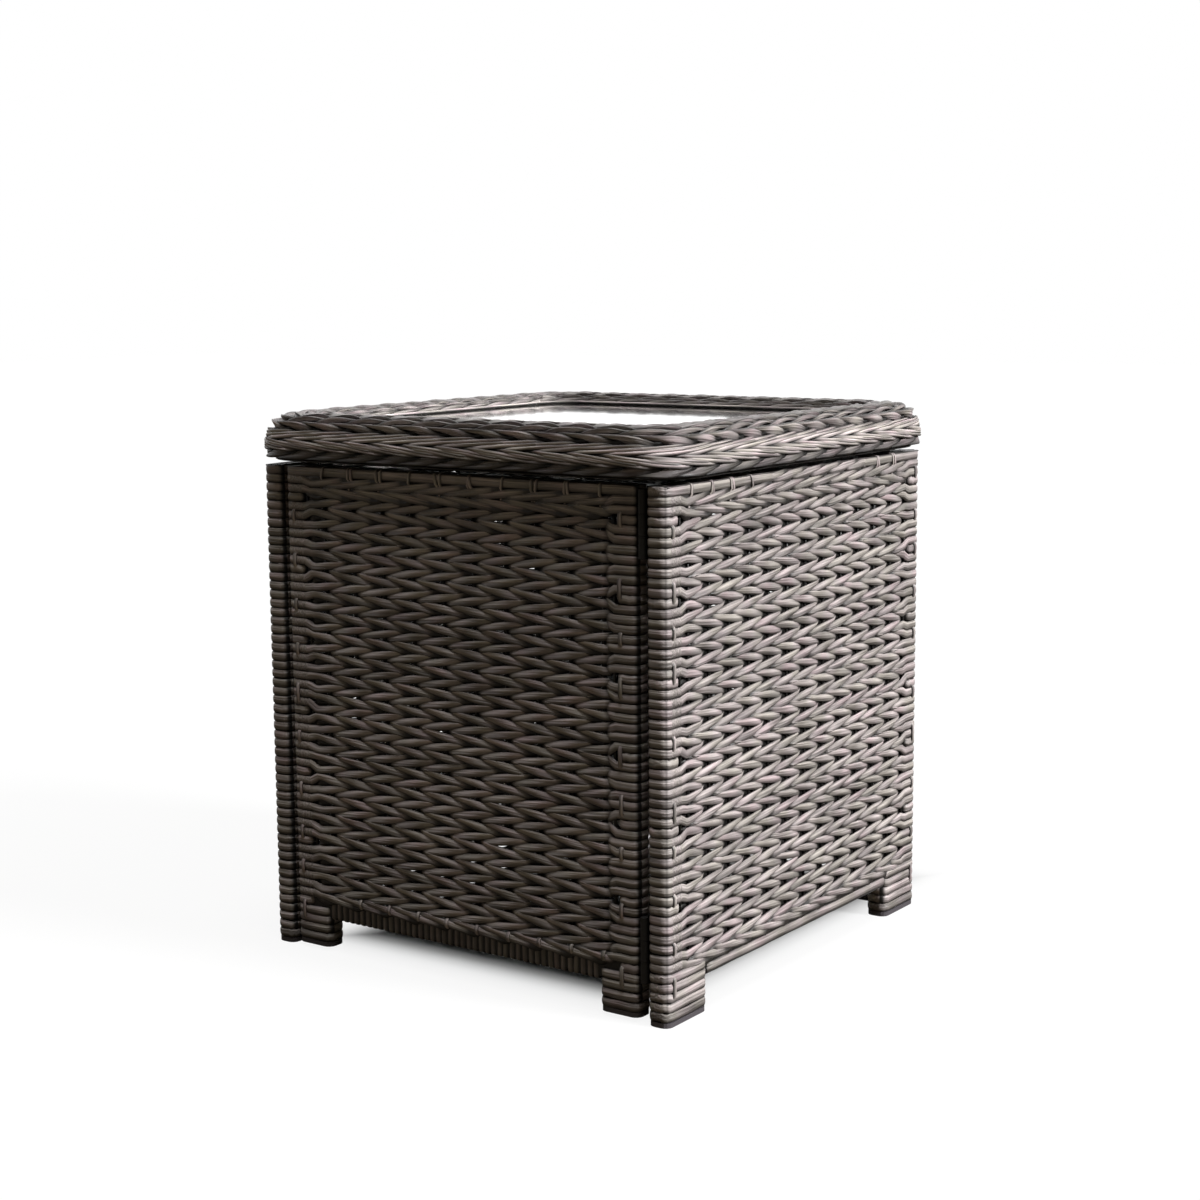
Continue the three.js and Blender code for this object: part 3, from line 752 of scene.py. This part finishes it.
# Widths and thicknesses of the strands other than the field's, and the radius of a stake
STRIP = (9.4, 2.0)
LEAFY_STRAND = (STRAND_WIDTH * 1.05, STRAND_THICKNESS)
LOOP_STRAND = (3.6, 1.4)
RAIL_WRAP = (6.4, 1.9)
STAKE_BAR = (4.8, 1.7)
STAKE_RADIUS = 1.6
# Depths of the strips on top of the top rail, under the lower one, on its front and on the inner faces
TOP_STRIPS = (5.2, 12.0, 18.8)
UNDER_STRIPS = (7.0, 16.5)
FRONT_STRIP = 2.6
INNER_STRIP = 22.7
# Heights of the strips' middles
TOP_HEIGHT = BODY_TOP - 1.4
INNER_TOP_HEIGHT = BODY_TOP - 15.2
UNDER_HEIGHT = CLEARANCE + 1.2
FRONT_HEIGHT = CLEARANCE + 6.2
INNER_LOW_HEIGHTS = (CLEARANCE + 6.2, CLEARANCE + 15.6)
# Pitch of the wraps on the door's lower rail
RAIL_WRAP_PITCH = 7.5


def post_wraps(panel):
    """Pitch and middle heights of the wraps on a panel's posts."""
    tall = BODY_TOP - panel["bottom"]
    count = round(tall / WRAP_PITCH)
    pitch = tall / count
    return pitch, [panel["bottom"] + (k + 0.5) * pitch for k in range(count)]


def weave_field(name, panel, wrap_pitch, wraps):
    """The rows of the field, and the rings round posts and feet at the heights that no row takes."""
    half, bottom, body = panel["half"], panel["bottom"], panel["body"]
    rows = round((BODY_TOP - bottom) / ROW_PITCH)
    pitch = (BODY_TOP - bottom) / rows
    section = half_round(STRAND_WIDTH, STRAND_THICKNESS)
    weave = Strands(name + "_strands", section)
    feet = Strands(name + "_foot_strands", section)
    lowest = Strands(name + "_lowest_strands", section)
    taken = {len(wraps) - 1}
    for k in range(rows - 1):
        z = bottom + (k + 0.5) * pitch
        if z < FIELD_START:
            continue
        over_rail = z > TOP_RAIL_ROWS or z < LOW_RAIL_ROWS
        slot = min(len(wraps) - 2, round((z - bottom) / wrap_pitch - 0.5))
        taken.add(slot)
        weave.lay(*twined_row(panel, z, wraps[slot], 1 if k % 2 else -1, over_rail))
    for k, z in enumerate(wraps):
        across = panel["foot"] if z < FIELD_START else PANEL_DEPTH
        if k not in taken:
            for near, far in ((-half, across - half), (half - across, half)):
                (feet if k else lowest).lay(on_panel(panel, foot_ring(near, far, z)))
    weave.finish(body, "wicker", wicker, name + "_weave")
    feet.finish(body, "wicker", wicker)
    lowest.finish(body, "wicker", foot_wicker)


def leafy_stretch(panel):
    """The middle stretch of a fixed panel's top rail, which a short row of leaves covers."""
    reach, pitch = panel["half"] - PANEL_DEPTH, panel["pitch"]
    return 4.4 * pitch - reach, reach - 2.6 * pitch


def strip_rails(name, panel, leafy):
    """The strips along the rails, and the short row on the top rail of a fixed panel."""
    half, body = panel["half"], panel["body"]
    reach, foot_side = half - PANEL_DEPTH, half - panel["foot"]
    strips = Strands(name + "_rail_strips", half_round(*STRIP))
    strips.lay(on_panel(panel, top_ring(half, leafy)))
    if leafy:
        band = Strands(name + "_top_row", half_round(*LEAFY_STRAND))
        short_row(band, panel, BODY_TOP - 5.6, *leafy)
        band.finish(body, "wicker", wicker)
    strip_along(strips, panel, reach, INNER_STRIP, INNER_TOP_HEIGHT, "inward")
    for depth in TOP_STRIPS:
        strip_along(strips, panel, half - 4, depth, TOP_HEIGHT, "up")
    if leafy:
        strip_along(strips, panel, foot_side, FRONT_STRIP, FRONT_HEIGHT, "outward")
        for depth in UNDER_STRIPS:
            strip_along(strips, panel, foot_side, depth, UNDER_HEIGHT, "down")
        for z in INNER_LOW_HEIGHTS:
            strip_along(strips, panel, reach, INNER_STRIP, z, "inward")
    strips.finish(body, "wicker", wicker)


def loop_stakes(name, panel, leafy):
    """The stakes' loops over the top rail, in pairs but for each third stake."""
    front, back = -0.2, PANEL_DEPTH
    low, high, tuck = BODY_TOP - 24.4, BODY_TOP - 0.2, BODY_TOP - 11
    loops = Strands(name + "_stake_loops", flat_across(*LOOP_STRAND), "MINIMUM")
    for i, x in enumerate(stake_places(panel)):
        if leafy and leafy[0] < x < leafy[1]:
            continue
        for step in (-2.1, 2.1) if i % 3 else (0.0,):
            lean = random.uniform(-0.25, 0.25)
            rail_loop(loops, panel, x + step, front, back, low, high, tuck, lean)
    loops.finish(panel["body"], "wicker", loop_wicker)


def wrap_low_rail(name, panel):
    """The wraps round the door's lower rail, side by side."""
    foot_side = panel["half"] - panel["foot"]
    front, back = 3.2, 23.6
    low, high = CLEARANCE + 0.6, CLEARANCE + 23.4
    bound = Strands(name + "_rail_wraps", flat_across(*RAIL_WRAP), "MINIMUM")
    count = round(2 * foot_side / RAIL_WRAP_PITCH)
    for i in range(count):
        x = -foot_side + 2 * foot_side * (i + 0.5) / count + random.uniform(-0.4, 0.4)
        rail_loop(bound, panel, x, front, back, low, high, None, random.uniform(-0.03, 0.03))
    bound.finish(panel["body"], "wicker", rail_wicker)


def show_stakes(name, panel, wrap_pitch, wraps):
    """Where stakes show: here and there over the posts' wraps, and on the lowest row of the door."""
    bars = Strands(name + "_stake_bars", flat_across(*STAKE_BAR), "MINIMUM")
    for side in (-1, 1):
        x = side * (panel["half"] - (18 if name == "door" and side > 0 else 11))
        k = 2 + random.randrange(2)
        while k < len(wraps) - 2:
            tall = wrap_pitch * random.choice((1.0, 1.2, 1.9))
            stake_bar(bars, panel, x + random.uniform(-0.6, 0.6), wraps[k], tall)
            k += random.choice((4, 5, 5, 6, 7))
    if name == "door":
        for x in stake_places(panel)[1:]:
            x += random.uniform(-1, 1)
            stake_bar(bars, panel, x, CLEARANCE + 23 + random.uniform(-1, 1), 5)
    bars.finish(panel["body"], "wicker", wicker)


def stand_stakes(name, panel):
    """The upright stakes in the field, painted with little light so that they show as dark bars in the
    holes between leaves.
    """
    reach = panel["half"] - PANEL_DEPTH
    depth, light = IN_FIELD["middle"] + 0.3, 0.2
    turns = np.arange(6) * math.pi / 3
    section = [(STAKE_RADIUS * math.cos(turn), STAKE_RADIUS * math.sin(turn)) for turn in turns]
    upright = Strands(name + "_stakes", section)
    for x in [EDGE_STAKE - reach, *stake_places(panel), reach - EDGE_STAKE]:
        way = [(x, depth, z) for z in (CLEARANCE + 18, 200, 340, BODY_TOP - 19)]
        upright.lay(on_panel(panel, way), cyclic=False, lights=[light] * len(way))
    upright.finish(panel["body"], "wicker", wicker)


def build_panel(name, panel):
    """All the strands of one panel."""
    leafy = None if name == "door" else leafy_stretch(panel)
    wrap_pitch, wraps = post_wraps(panel)
    weave_field(name, panel, wrap_pitch, wraps)
    strip_rails(name, panel, leafy)
    loop_stakes(name, panel, leafy)
    if name == "door":
        wrap_low_rail(name, panel)
    show_stakes(name, panel, wrap_pitch, wraps)
    stand_stakes(name, panel)


# Lid
HALF_LID = 254.0
LID_BOTTOM = 495.0
LID_HEIGHT = 46.5
RIM_WIDTH = 60.0
OUTER_CORNER = 50.0
INNER_CORNER = 37.0
RIM_SHARES = [
    (0.86, 0.0),
    (0.2, 0.0),
    (0.09, 0.05),
    (0.02, 0.16),
    (0.0, 0.34),
    (0.015, 0.52),
    (0.07, 0.68),
    (0.17, 0.84),
    (0.32, 0.95),
    (0.5, 1.0),
    (0.72, 0.975),
    (0.89, 0.9),
    (0.985, 0.79),
    (1.0, 0.7),
    (1.0, 0.55),
]
RIM_OUTLINE = [(across * RIM_WIDTH, LID_BOTTOM + up * LID_HEIGHT) for across, up in RIM_SHARES]
# The dark core of painted shade: the middle of the section, and how much of the way out from it the core
# reaches
CORE_MIDDLE = Vector((31, 517))
CORE_SHARE = 0.74
# Inset of the bead round the glass
TRIM_INSET = 60.8
# Half length, as a phase, of a waled strand's climb
WALE_REACH = 2 * math.pi / 3


def on_outline(distance):
    """Inset and height at a distance along the rim's section, from its inner lower edge."""
    for (x0, z0), (x1, z1) in zip(RIM_OUTLINE, RIM_OUTLINE[1:]):
        step = math.hypot(x1 - x0, z1 - z0)
        if distance <= step:
            break
        distance -= step
    share = min(1.0, distance / step)
    return x0 + (x1 - x0) * share, z0 + (z1 - z0) * share


def outline_angle(distance, width):
    """Angle of the surface's outward normal above the horizontal, smoothed over a strand's width."""
    x0, z0 = on_outline(distance - width / 2)
    x1, z1 = on_outline(distance + width / 2)
    return math.atan2(x1 - x0, z1 - z0)


def lid_loop(inset, step):
    """A rounded square round the lid, as (x, y, outward x, outward y) about every step millimetres."""
    radius = OUTER_CORNER + (INNER_CORNER - OUTER_CORNER) * inset / RIM_WIDTH
    flat = HALF_LID - inset - radius
    way = []
    straight = max(2, round(2 * flat / step))
    bend = max(3, round(math.pi / 2 * radius / step))
    for quarter in (2, 3, 0, 1):
        angle = math.pi / 2 * quarter
        cos, sin = round(math.cos(angle)), round(math.sin(angle))
        for i in range(straight):
            x, y = flat + radius, -flat + 2 * flat * i / straight
            way.append((cos * x - sin * y, sin * x + cos * y, cos, sin))
        for i in range(bend):
            turn = math.pi / 2 * i / bend
            nx, ny = math.cos(turn), math.sin(turn)
            x, y = flat + radius * nx, flat + radius * ny
            way.append((cos * x - sin * y, sin * x + cos * y, cos * nx - sin * ny, sin * nx + cos * ny))
    return way


def wale_height(turn):
    """Height of a waled strand: it climbs while it passes two stakes, and drops behind the third."""
    if abs(turn) <= WALE_REACH:
        return turn / WALE_REACH
    back = (abs(turn) - WALE_REACH) / (math.pi - WALE_REACH)
    return math.copysign(0.5 + 0.5 * math.cos(math.pi * back), turn) if back < 1 else 0.0


def wale_front(turn):
    """How far a waled strand stands in front of the middle, from 1 to -1."""
    return math.cos(math.pi * max(0.0, (abs(turn) - 0.5 * math.pi) / (0.5 * math.pi)))


# Ways to weave a row round the lid: the phases of its strands, and the height and the front of each
TWINING = ((0.0, math.pi), leaf_height, leaf_front)
WALING = ((0.0, 2 * math.pi / 3, 4 * math.pi / 3), wale_height, wale_front)
# Widths and thicknesses of the lid's strands
BRAID_STRAND = (11.2, 3.0)
EDGE_STRAND = (3.9, 2.0)
BAND_STRAND = (9.8, 2.2)
LOWEST_STRAND = (9.6, 2.4)
# The rows' distances along the rim's section, the widths of their bed, and how their strands lie on it
BRAID_ROWS = (84.0, 95.0, 106.4, 118.0, 129.2, 139.2)
BRAID = {"width": 11, "period": 80, "swing": 2.9, "rise": 3.9, "depth": 5.0}
EDGE = {"width": 8, "period": 114}
UPPER_EDGE = {"distance": 72.8, "swing": 1.7, "rise": 3.0, "hand": 1, "depth": 3.2}
LOWER_EDGE = {"distance": 62.0, "swing": 1.9, "rise": 3.4, "hand": -1, "depth": 3.4}
LOWEST = {
    "distance": 51.4,
    "width": 8,
    "period": 76,
    "swing": 2.0,
    "rise": 2.6,
    "hand": 1,
    "depth": 3.3,
}
# Half the distance between the two strands that are waled side by side, and how far one runs ahead
EDGE_SHIFT = 1.4
AHEAD = 0.1
# Flat strands under the rim: their distances along its section, and the light that reaches them
BANDS = ((40, 0.2), (30.5, 0.6), (21, 0.8), (12, 0.8), (3, 0.8))
BAND_DEPTH = 1.3
# How far a leaf of the lid is out of line, and its girths
LID_LIFT = 0.5
LID_GIRTHS = (0.9, 1.08)


def lid_rows(strands, weave, distance, width, period, swing, rise, hand, depth, shift=0.0, slip=0.0):
    """Strands woven round the lid at one place of its section; shift moves them all along it."""
    starts, height_of, front_of = weave
    inset, height = on_outline(distance)
    angle = outline_angle(distance, width)
    way = lid_loop(inset, 5.7)
    steps = [math.dist(a[:2], b[:2]) for a, b in zip(way, way[1:] + way[:1])]
    length = sum(steps)
    turns = round(length / period)
    for start in starts:
        run = 0.0
        lifts = [random.uniform(-LID_LIFT, LID_LIFT) for _ in range(turns)]
        girths = [random.uniform(*LID_GIRTHS) for _ in range(turns)]
        points, tilts, radii, lights = [], [], [], []
        for (x, y, nx, ny), step in zip(way, steps):
            phase = 2 * math.pi * turns * run / length + start + slip
            turn = (phase + math.pi) % (2 * math.pi) - math.pi
            front = front_of(turn)
            out = -depth + swing * front
            leaf = int((phase + math.pi) / (2 * math.pi)) % turns
            crest = max(0.0, math.cos(turn))
            side = shift + rise * hand * height_of(turn) + lifts[leaf] * crest
            level = out * math.cos(angle) - side * math.sin(angle)
            z = height + out * math.sin(angle) + side * math.cos(angle)
            points.append((x + nx * level, y + ny * level, z))
            tilts.append(angle + hand * leaf_lean(turn))
            radii.append((0.72 + 0.28 * abs(front)) * (1 + (girths[leaf] - 1) * crest))
            lights.append(min(1.2, max(0.02, 0.08 + 1.12 * front)))
            run += step
        strands.lay(points, tilts, radii, True, lights)


def lid_strip(strands, distance, depth, light):
    """A flat strand laid straight round the lid."""
    inset, height = on_outline(distance)
    angle = outline_angle(distance, 8)
    level = -depth * math.cos(angle)
    z = height - depth * math.sin(angle)
    points = [(x + nx * level, y + ny * level, z) for x, y, nx, ny in lid_loop(inset, 12)]
    strands.lay(points, [angle] * len(points), None, True, [light] * len(points))


def build_lid():
    """The lid's strands, from its top down: the braid, the edge, the bands and the lowest row."""
    braid = Strands("lid_braid", half_round(*BRAID_STRAND))
    for k, distance in enumerate(BRAID_ROWS):
        slip = random.uniform(-0.3, 0.3)
        lid_rows(braid, TWINING, distance, hand=1 if k % 2 else -1, slip=slip, **BRAID)
    braid.finish("lid", "lid_wicker", lid_wicker, "lid_rim")
    edge = Strands("lid_edge_wale", half_round(*EDGE_STRAND))
    for shift in (-EDGE_SHIFT, EDGE_SHIFT):
        for row in (UPPER_EDGE, LOWER_EDGE):
            lid_rows(edge, WALING, shift=shift, slip=shift * AHEAD, **EDGE, **row)
    edge.finish("lid", "lid_wicker", lid_wicker)
    band = Strands("lid_band", half_round(*BAND_STRAND))
    for distance, light in BANDS:
        lid_strip(band, distance, BAND_DEPTH, light)
    band.finish("lid", "lid_wicker", lid_wicker)
    lowest = Strands("lid_lowest_row", half_round(*LOWEST_STRAND))
    lid_rows(lowest, TWINING, **LOWEST)
    lowest.finish("lid", "lid_wicker", low_wicker)
    build_lid_core()
    build_trim()


def build_trim():
    """A thin bead laid round the inner edge of the rim, with a black strand under it as a painted shadow
    line.
    """
    for name, width, height, depth, material in (
        ("lid_inner_trim", 2.4, 532.0, 0.2, trim_wicker),
        ("lid_glass_joint", 1.6, 530.3, -0.2, painted_shade_black),
    ):
        trim = Strands(name, half_round(width, 2.0))
        points = [(x - nx * depth, y - ny * depth, height) for x, y, nx, ny in lid_loop(TRIM_INSET, 10)]
        trim.lay(points, [math.pi] * len(points))
        trim.finish("lid", "lid_wicker", material)


def build_lid_core():
    """A dark core of painted shade under the braid, round the lid's tube: the rim's section, drawn in to
    its middle.
    """
    shape = bmesh.new()
    loops = []
    for inset, height in RIM_OUTLINE[1:]:
        spot = CORE_MIDDLE + (Vector((inset, height)) - CORE_MIDDLE) * CORE_SHARE
        ring = [shape.verts.new((x * MM, y * MM, spot.y * MM)) for x, y, _, _ in lid_loop(spot.x, 12)]
        loops.append([shape.edges.new((a, b)) for a, b in zip(ring, ring[1:] + ring[:1])])
    for first, second in zip(loops, loops[1:] + loops[:1]):
        bmesh.ops.bridge_loops(shape, edges=first + second)
    bmesh.ops.recalc_face_normals(shape, faces=shape.faces)
    mesh = bpy.data.meshes.new("lid_core")
    shape.to_mesh(mesh)
    shape.free()
    place_piece(add_object("lid_core", mesh), "lid", "lid_wicker", painted_shade_black)


# Floor, light and backdrop
FLOOR_HALF = 14
# Diffuse colour with which the floor lights the object, and the warm dim room round it
PAPER = (0.11, 0.092, 0.066)
ROOM_COLOUR = (1.0, 0.78, 0.48)
ROOM_STRENGTH = 0.036
# The floor that is seen, by distance from the table's middle in metres: the colour of its painted shadow,
# and the share of plain white over it, which falls near the table as part of that painted shadow
UNDER_TABLE = [(0.15, 0.06), (0.19, 0.4), (0.22, 0.8), (0.245, 0.95)]
WHITE_SHARE = [
    (0.165, 0.0),
    (0.18, 0.2),
    (0.195, 0.55),
    (0.21, 0.8),
    (0.225, 0.89),
    (0.6, 0.91),
    (1.0, 0.94),
]
WHITE = (1.0, 1.0, 1.0)
# A distance to the rear counts for this share, so that the painted shadow shows through the toe gap
REAR_SHARE = 0.6
# The level direction from the camera to the table, in which the backdrop is bright
BACKDROP_X, BACKDROP_Y = -0.56, 0.83
# Each lamp's name, direction and strength, and the width in degrees of the disc that it shines from
LAMPS = (
    ("key", (-0.88, -0.15, -0.50), 4.5, 14),
    ("top", (-0.12, 0.11, -1.0), 1.6, 20),
    ("rear_fill", (0.55, -0.75, -0.5), 0.35, 60),
)


def build_floor():
    """A pale floor: white to the eye, with a painted shadow under the table, and darker where it lights
    the object.
    """
    shape = bmesh.new()
    bmesh.ops.create_grid(shape, x_segments=2, y_segments=2, size=FLOOR_HALF)
    mesh = bpy.data.meshes.new("studio_floor")
    shape.to_mesh(mesh)
    shape.free()
    floor = add_object("studio_floor", mesh)
    finish = Finish("studio floor")
    ray = finish.node("ShaderNodeLightPath")
    seen = ray["Is Camera Ray"].math("MAXIMUM", ray["Is Transmission Ray"])
    paper = finish.node("ShaderNodeBsdfDiffuse", None, {"Color": PAPER})["BSDF"]
    white = finish.node("ShaderNodeEmission", None, {"Color": WHITE, "Strength": 1.0})["Emission"]
    spot = finish.node("ShaderNodeSeparateXYZ", None, {"Vector": finish.object_place()})
    along = (-1.0 * spot["Y"]).math("MAXIMUM", REAR_SHARE * spot["Y"])
    away = spot["X"].math("ABSOLUTE").math("MAXIMUM", along)
    shade = finish.grey_ramp(away, UNDER_TABLE)
    shaded = finish.node("ShaderNodeBsdfDiffuse", None, {"Color": shade})["BSDF"]
    share = finish.grey_ramp(away, WHITE_SHARE)
    bright = finish.node("ShaderNodeMixShader", None, [share, shaded, white])["Shader"]
    both = finish.node("ShaderNodeMixShader", None, [seen, paper, bright])["Shader"]
    finish.tree.links.new(both.socket, finish.output.inputs["Surface"])
    mesh.materials.append(finish.material)


def build_room():
    """A warm dim room, which the camera, glass and gloss see as a white backdrop."""
    world = bpy.data.worlds.new("studio")
    bpy.context.scene.world = world
    world.use_nodes = True
    room = Finish.of_tree(world.node_tree)

    def sky(colour, strength):
        inputs = {"Color": colour, "Strength": strength}
        return room.node("ShaderNodeBackground", None, inputs)["Background"]

    path = room.node("ShaderNodeLightPath")
    plain = path["Is Camera Ray"].math("MAXIMUM", path["Is Transmission Ray"])
    sight = room.node("ShaderNodeTexCoord")["Generated"]
    way = room.node("ShaderNodeSeparateXYZ", None, {"Vector": sight})
    behind = BACKDROP_Y * way["Y"] + BACKDROP_X * way["X"]
    mirrored = path["Is Glossy Ray"] * room.grey_ramp(behind, [(0.0, 0.12), (0.5, 1)])
    white_share = plain.math("MAXIMUM", mirrored)
    dim, pale = sky(ROOM_COLOUR, ROOM_STRENGTH), sky(WHITE, 1.0)
    blend = room.node("ShaderNodeMixShader", None, [white_share, dim, pale])["Shader"]
    room.tree.links.new(blend.socket, room.output.inputs["Surface"])


def build_lamps():
    """A broad key lamp, a top lamp and a faint one for the rear."""
    for name, toward, strength, spread in LAMPS:
        lamp = bpy.data.lights.new(name, "SUN")
        lamp.energy = strength
        lamp.angle = math.radians(spread)
        add_object(name, lamp).rotation_euler = Vector(toward).to_track_quat("-Z", "Y").to_euler()


def dress_nodes():
    """Gives every shown CAD node the procedural finish of its slot."""
    for part in frame["record"]["subparts"]:
        node = frame["nodes"][part["node"]]
        node.data.materials.clear()
        node.data.materials.append(FINISHES[part["material_slot"]])


place_camera()
dress_nodes()
for panel_name, panel in PANELS.items():
    build_panel(panel_name, panel)
build_lid()
build_floor()
build_room()
build_lamps()
bpy.context.scene.view_settings.view_transform = "Standard"
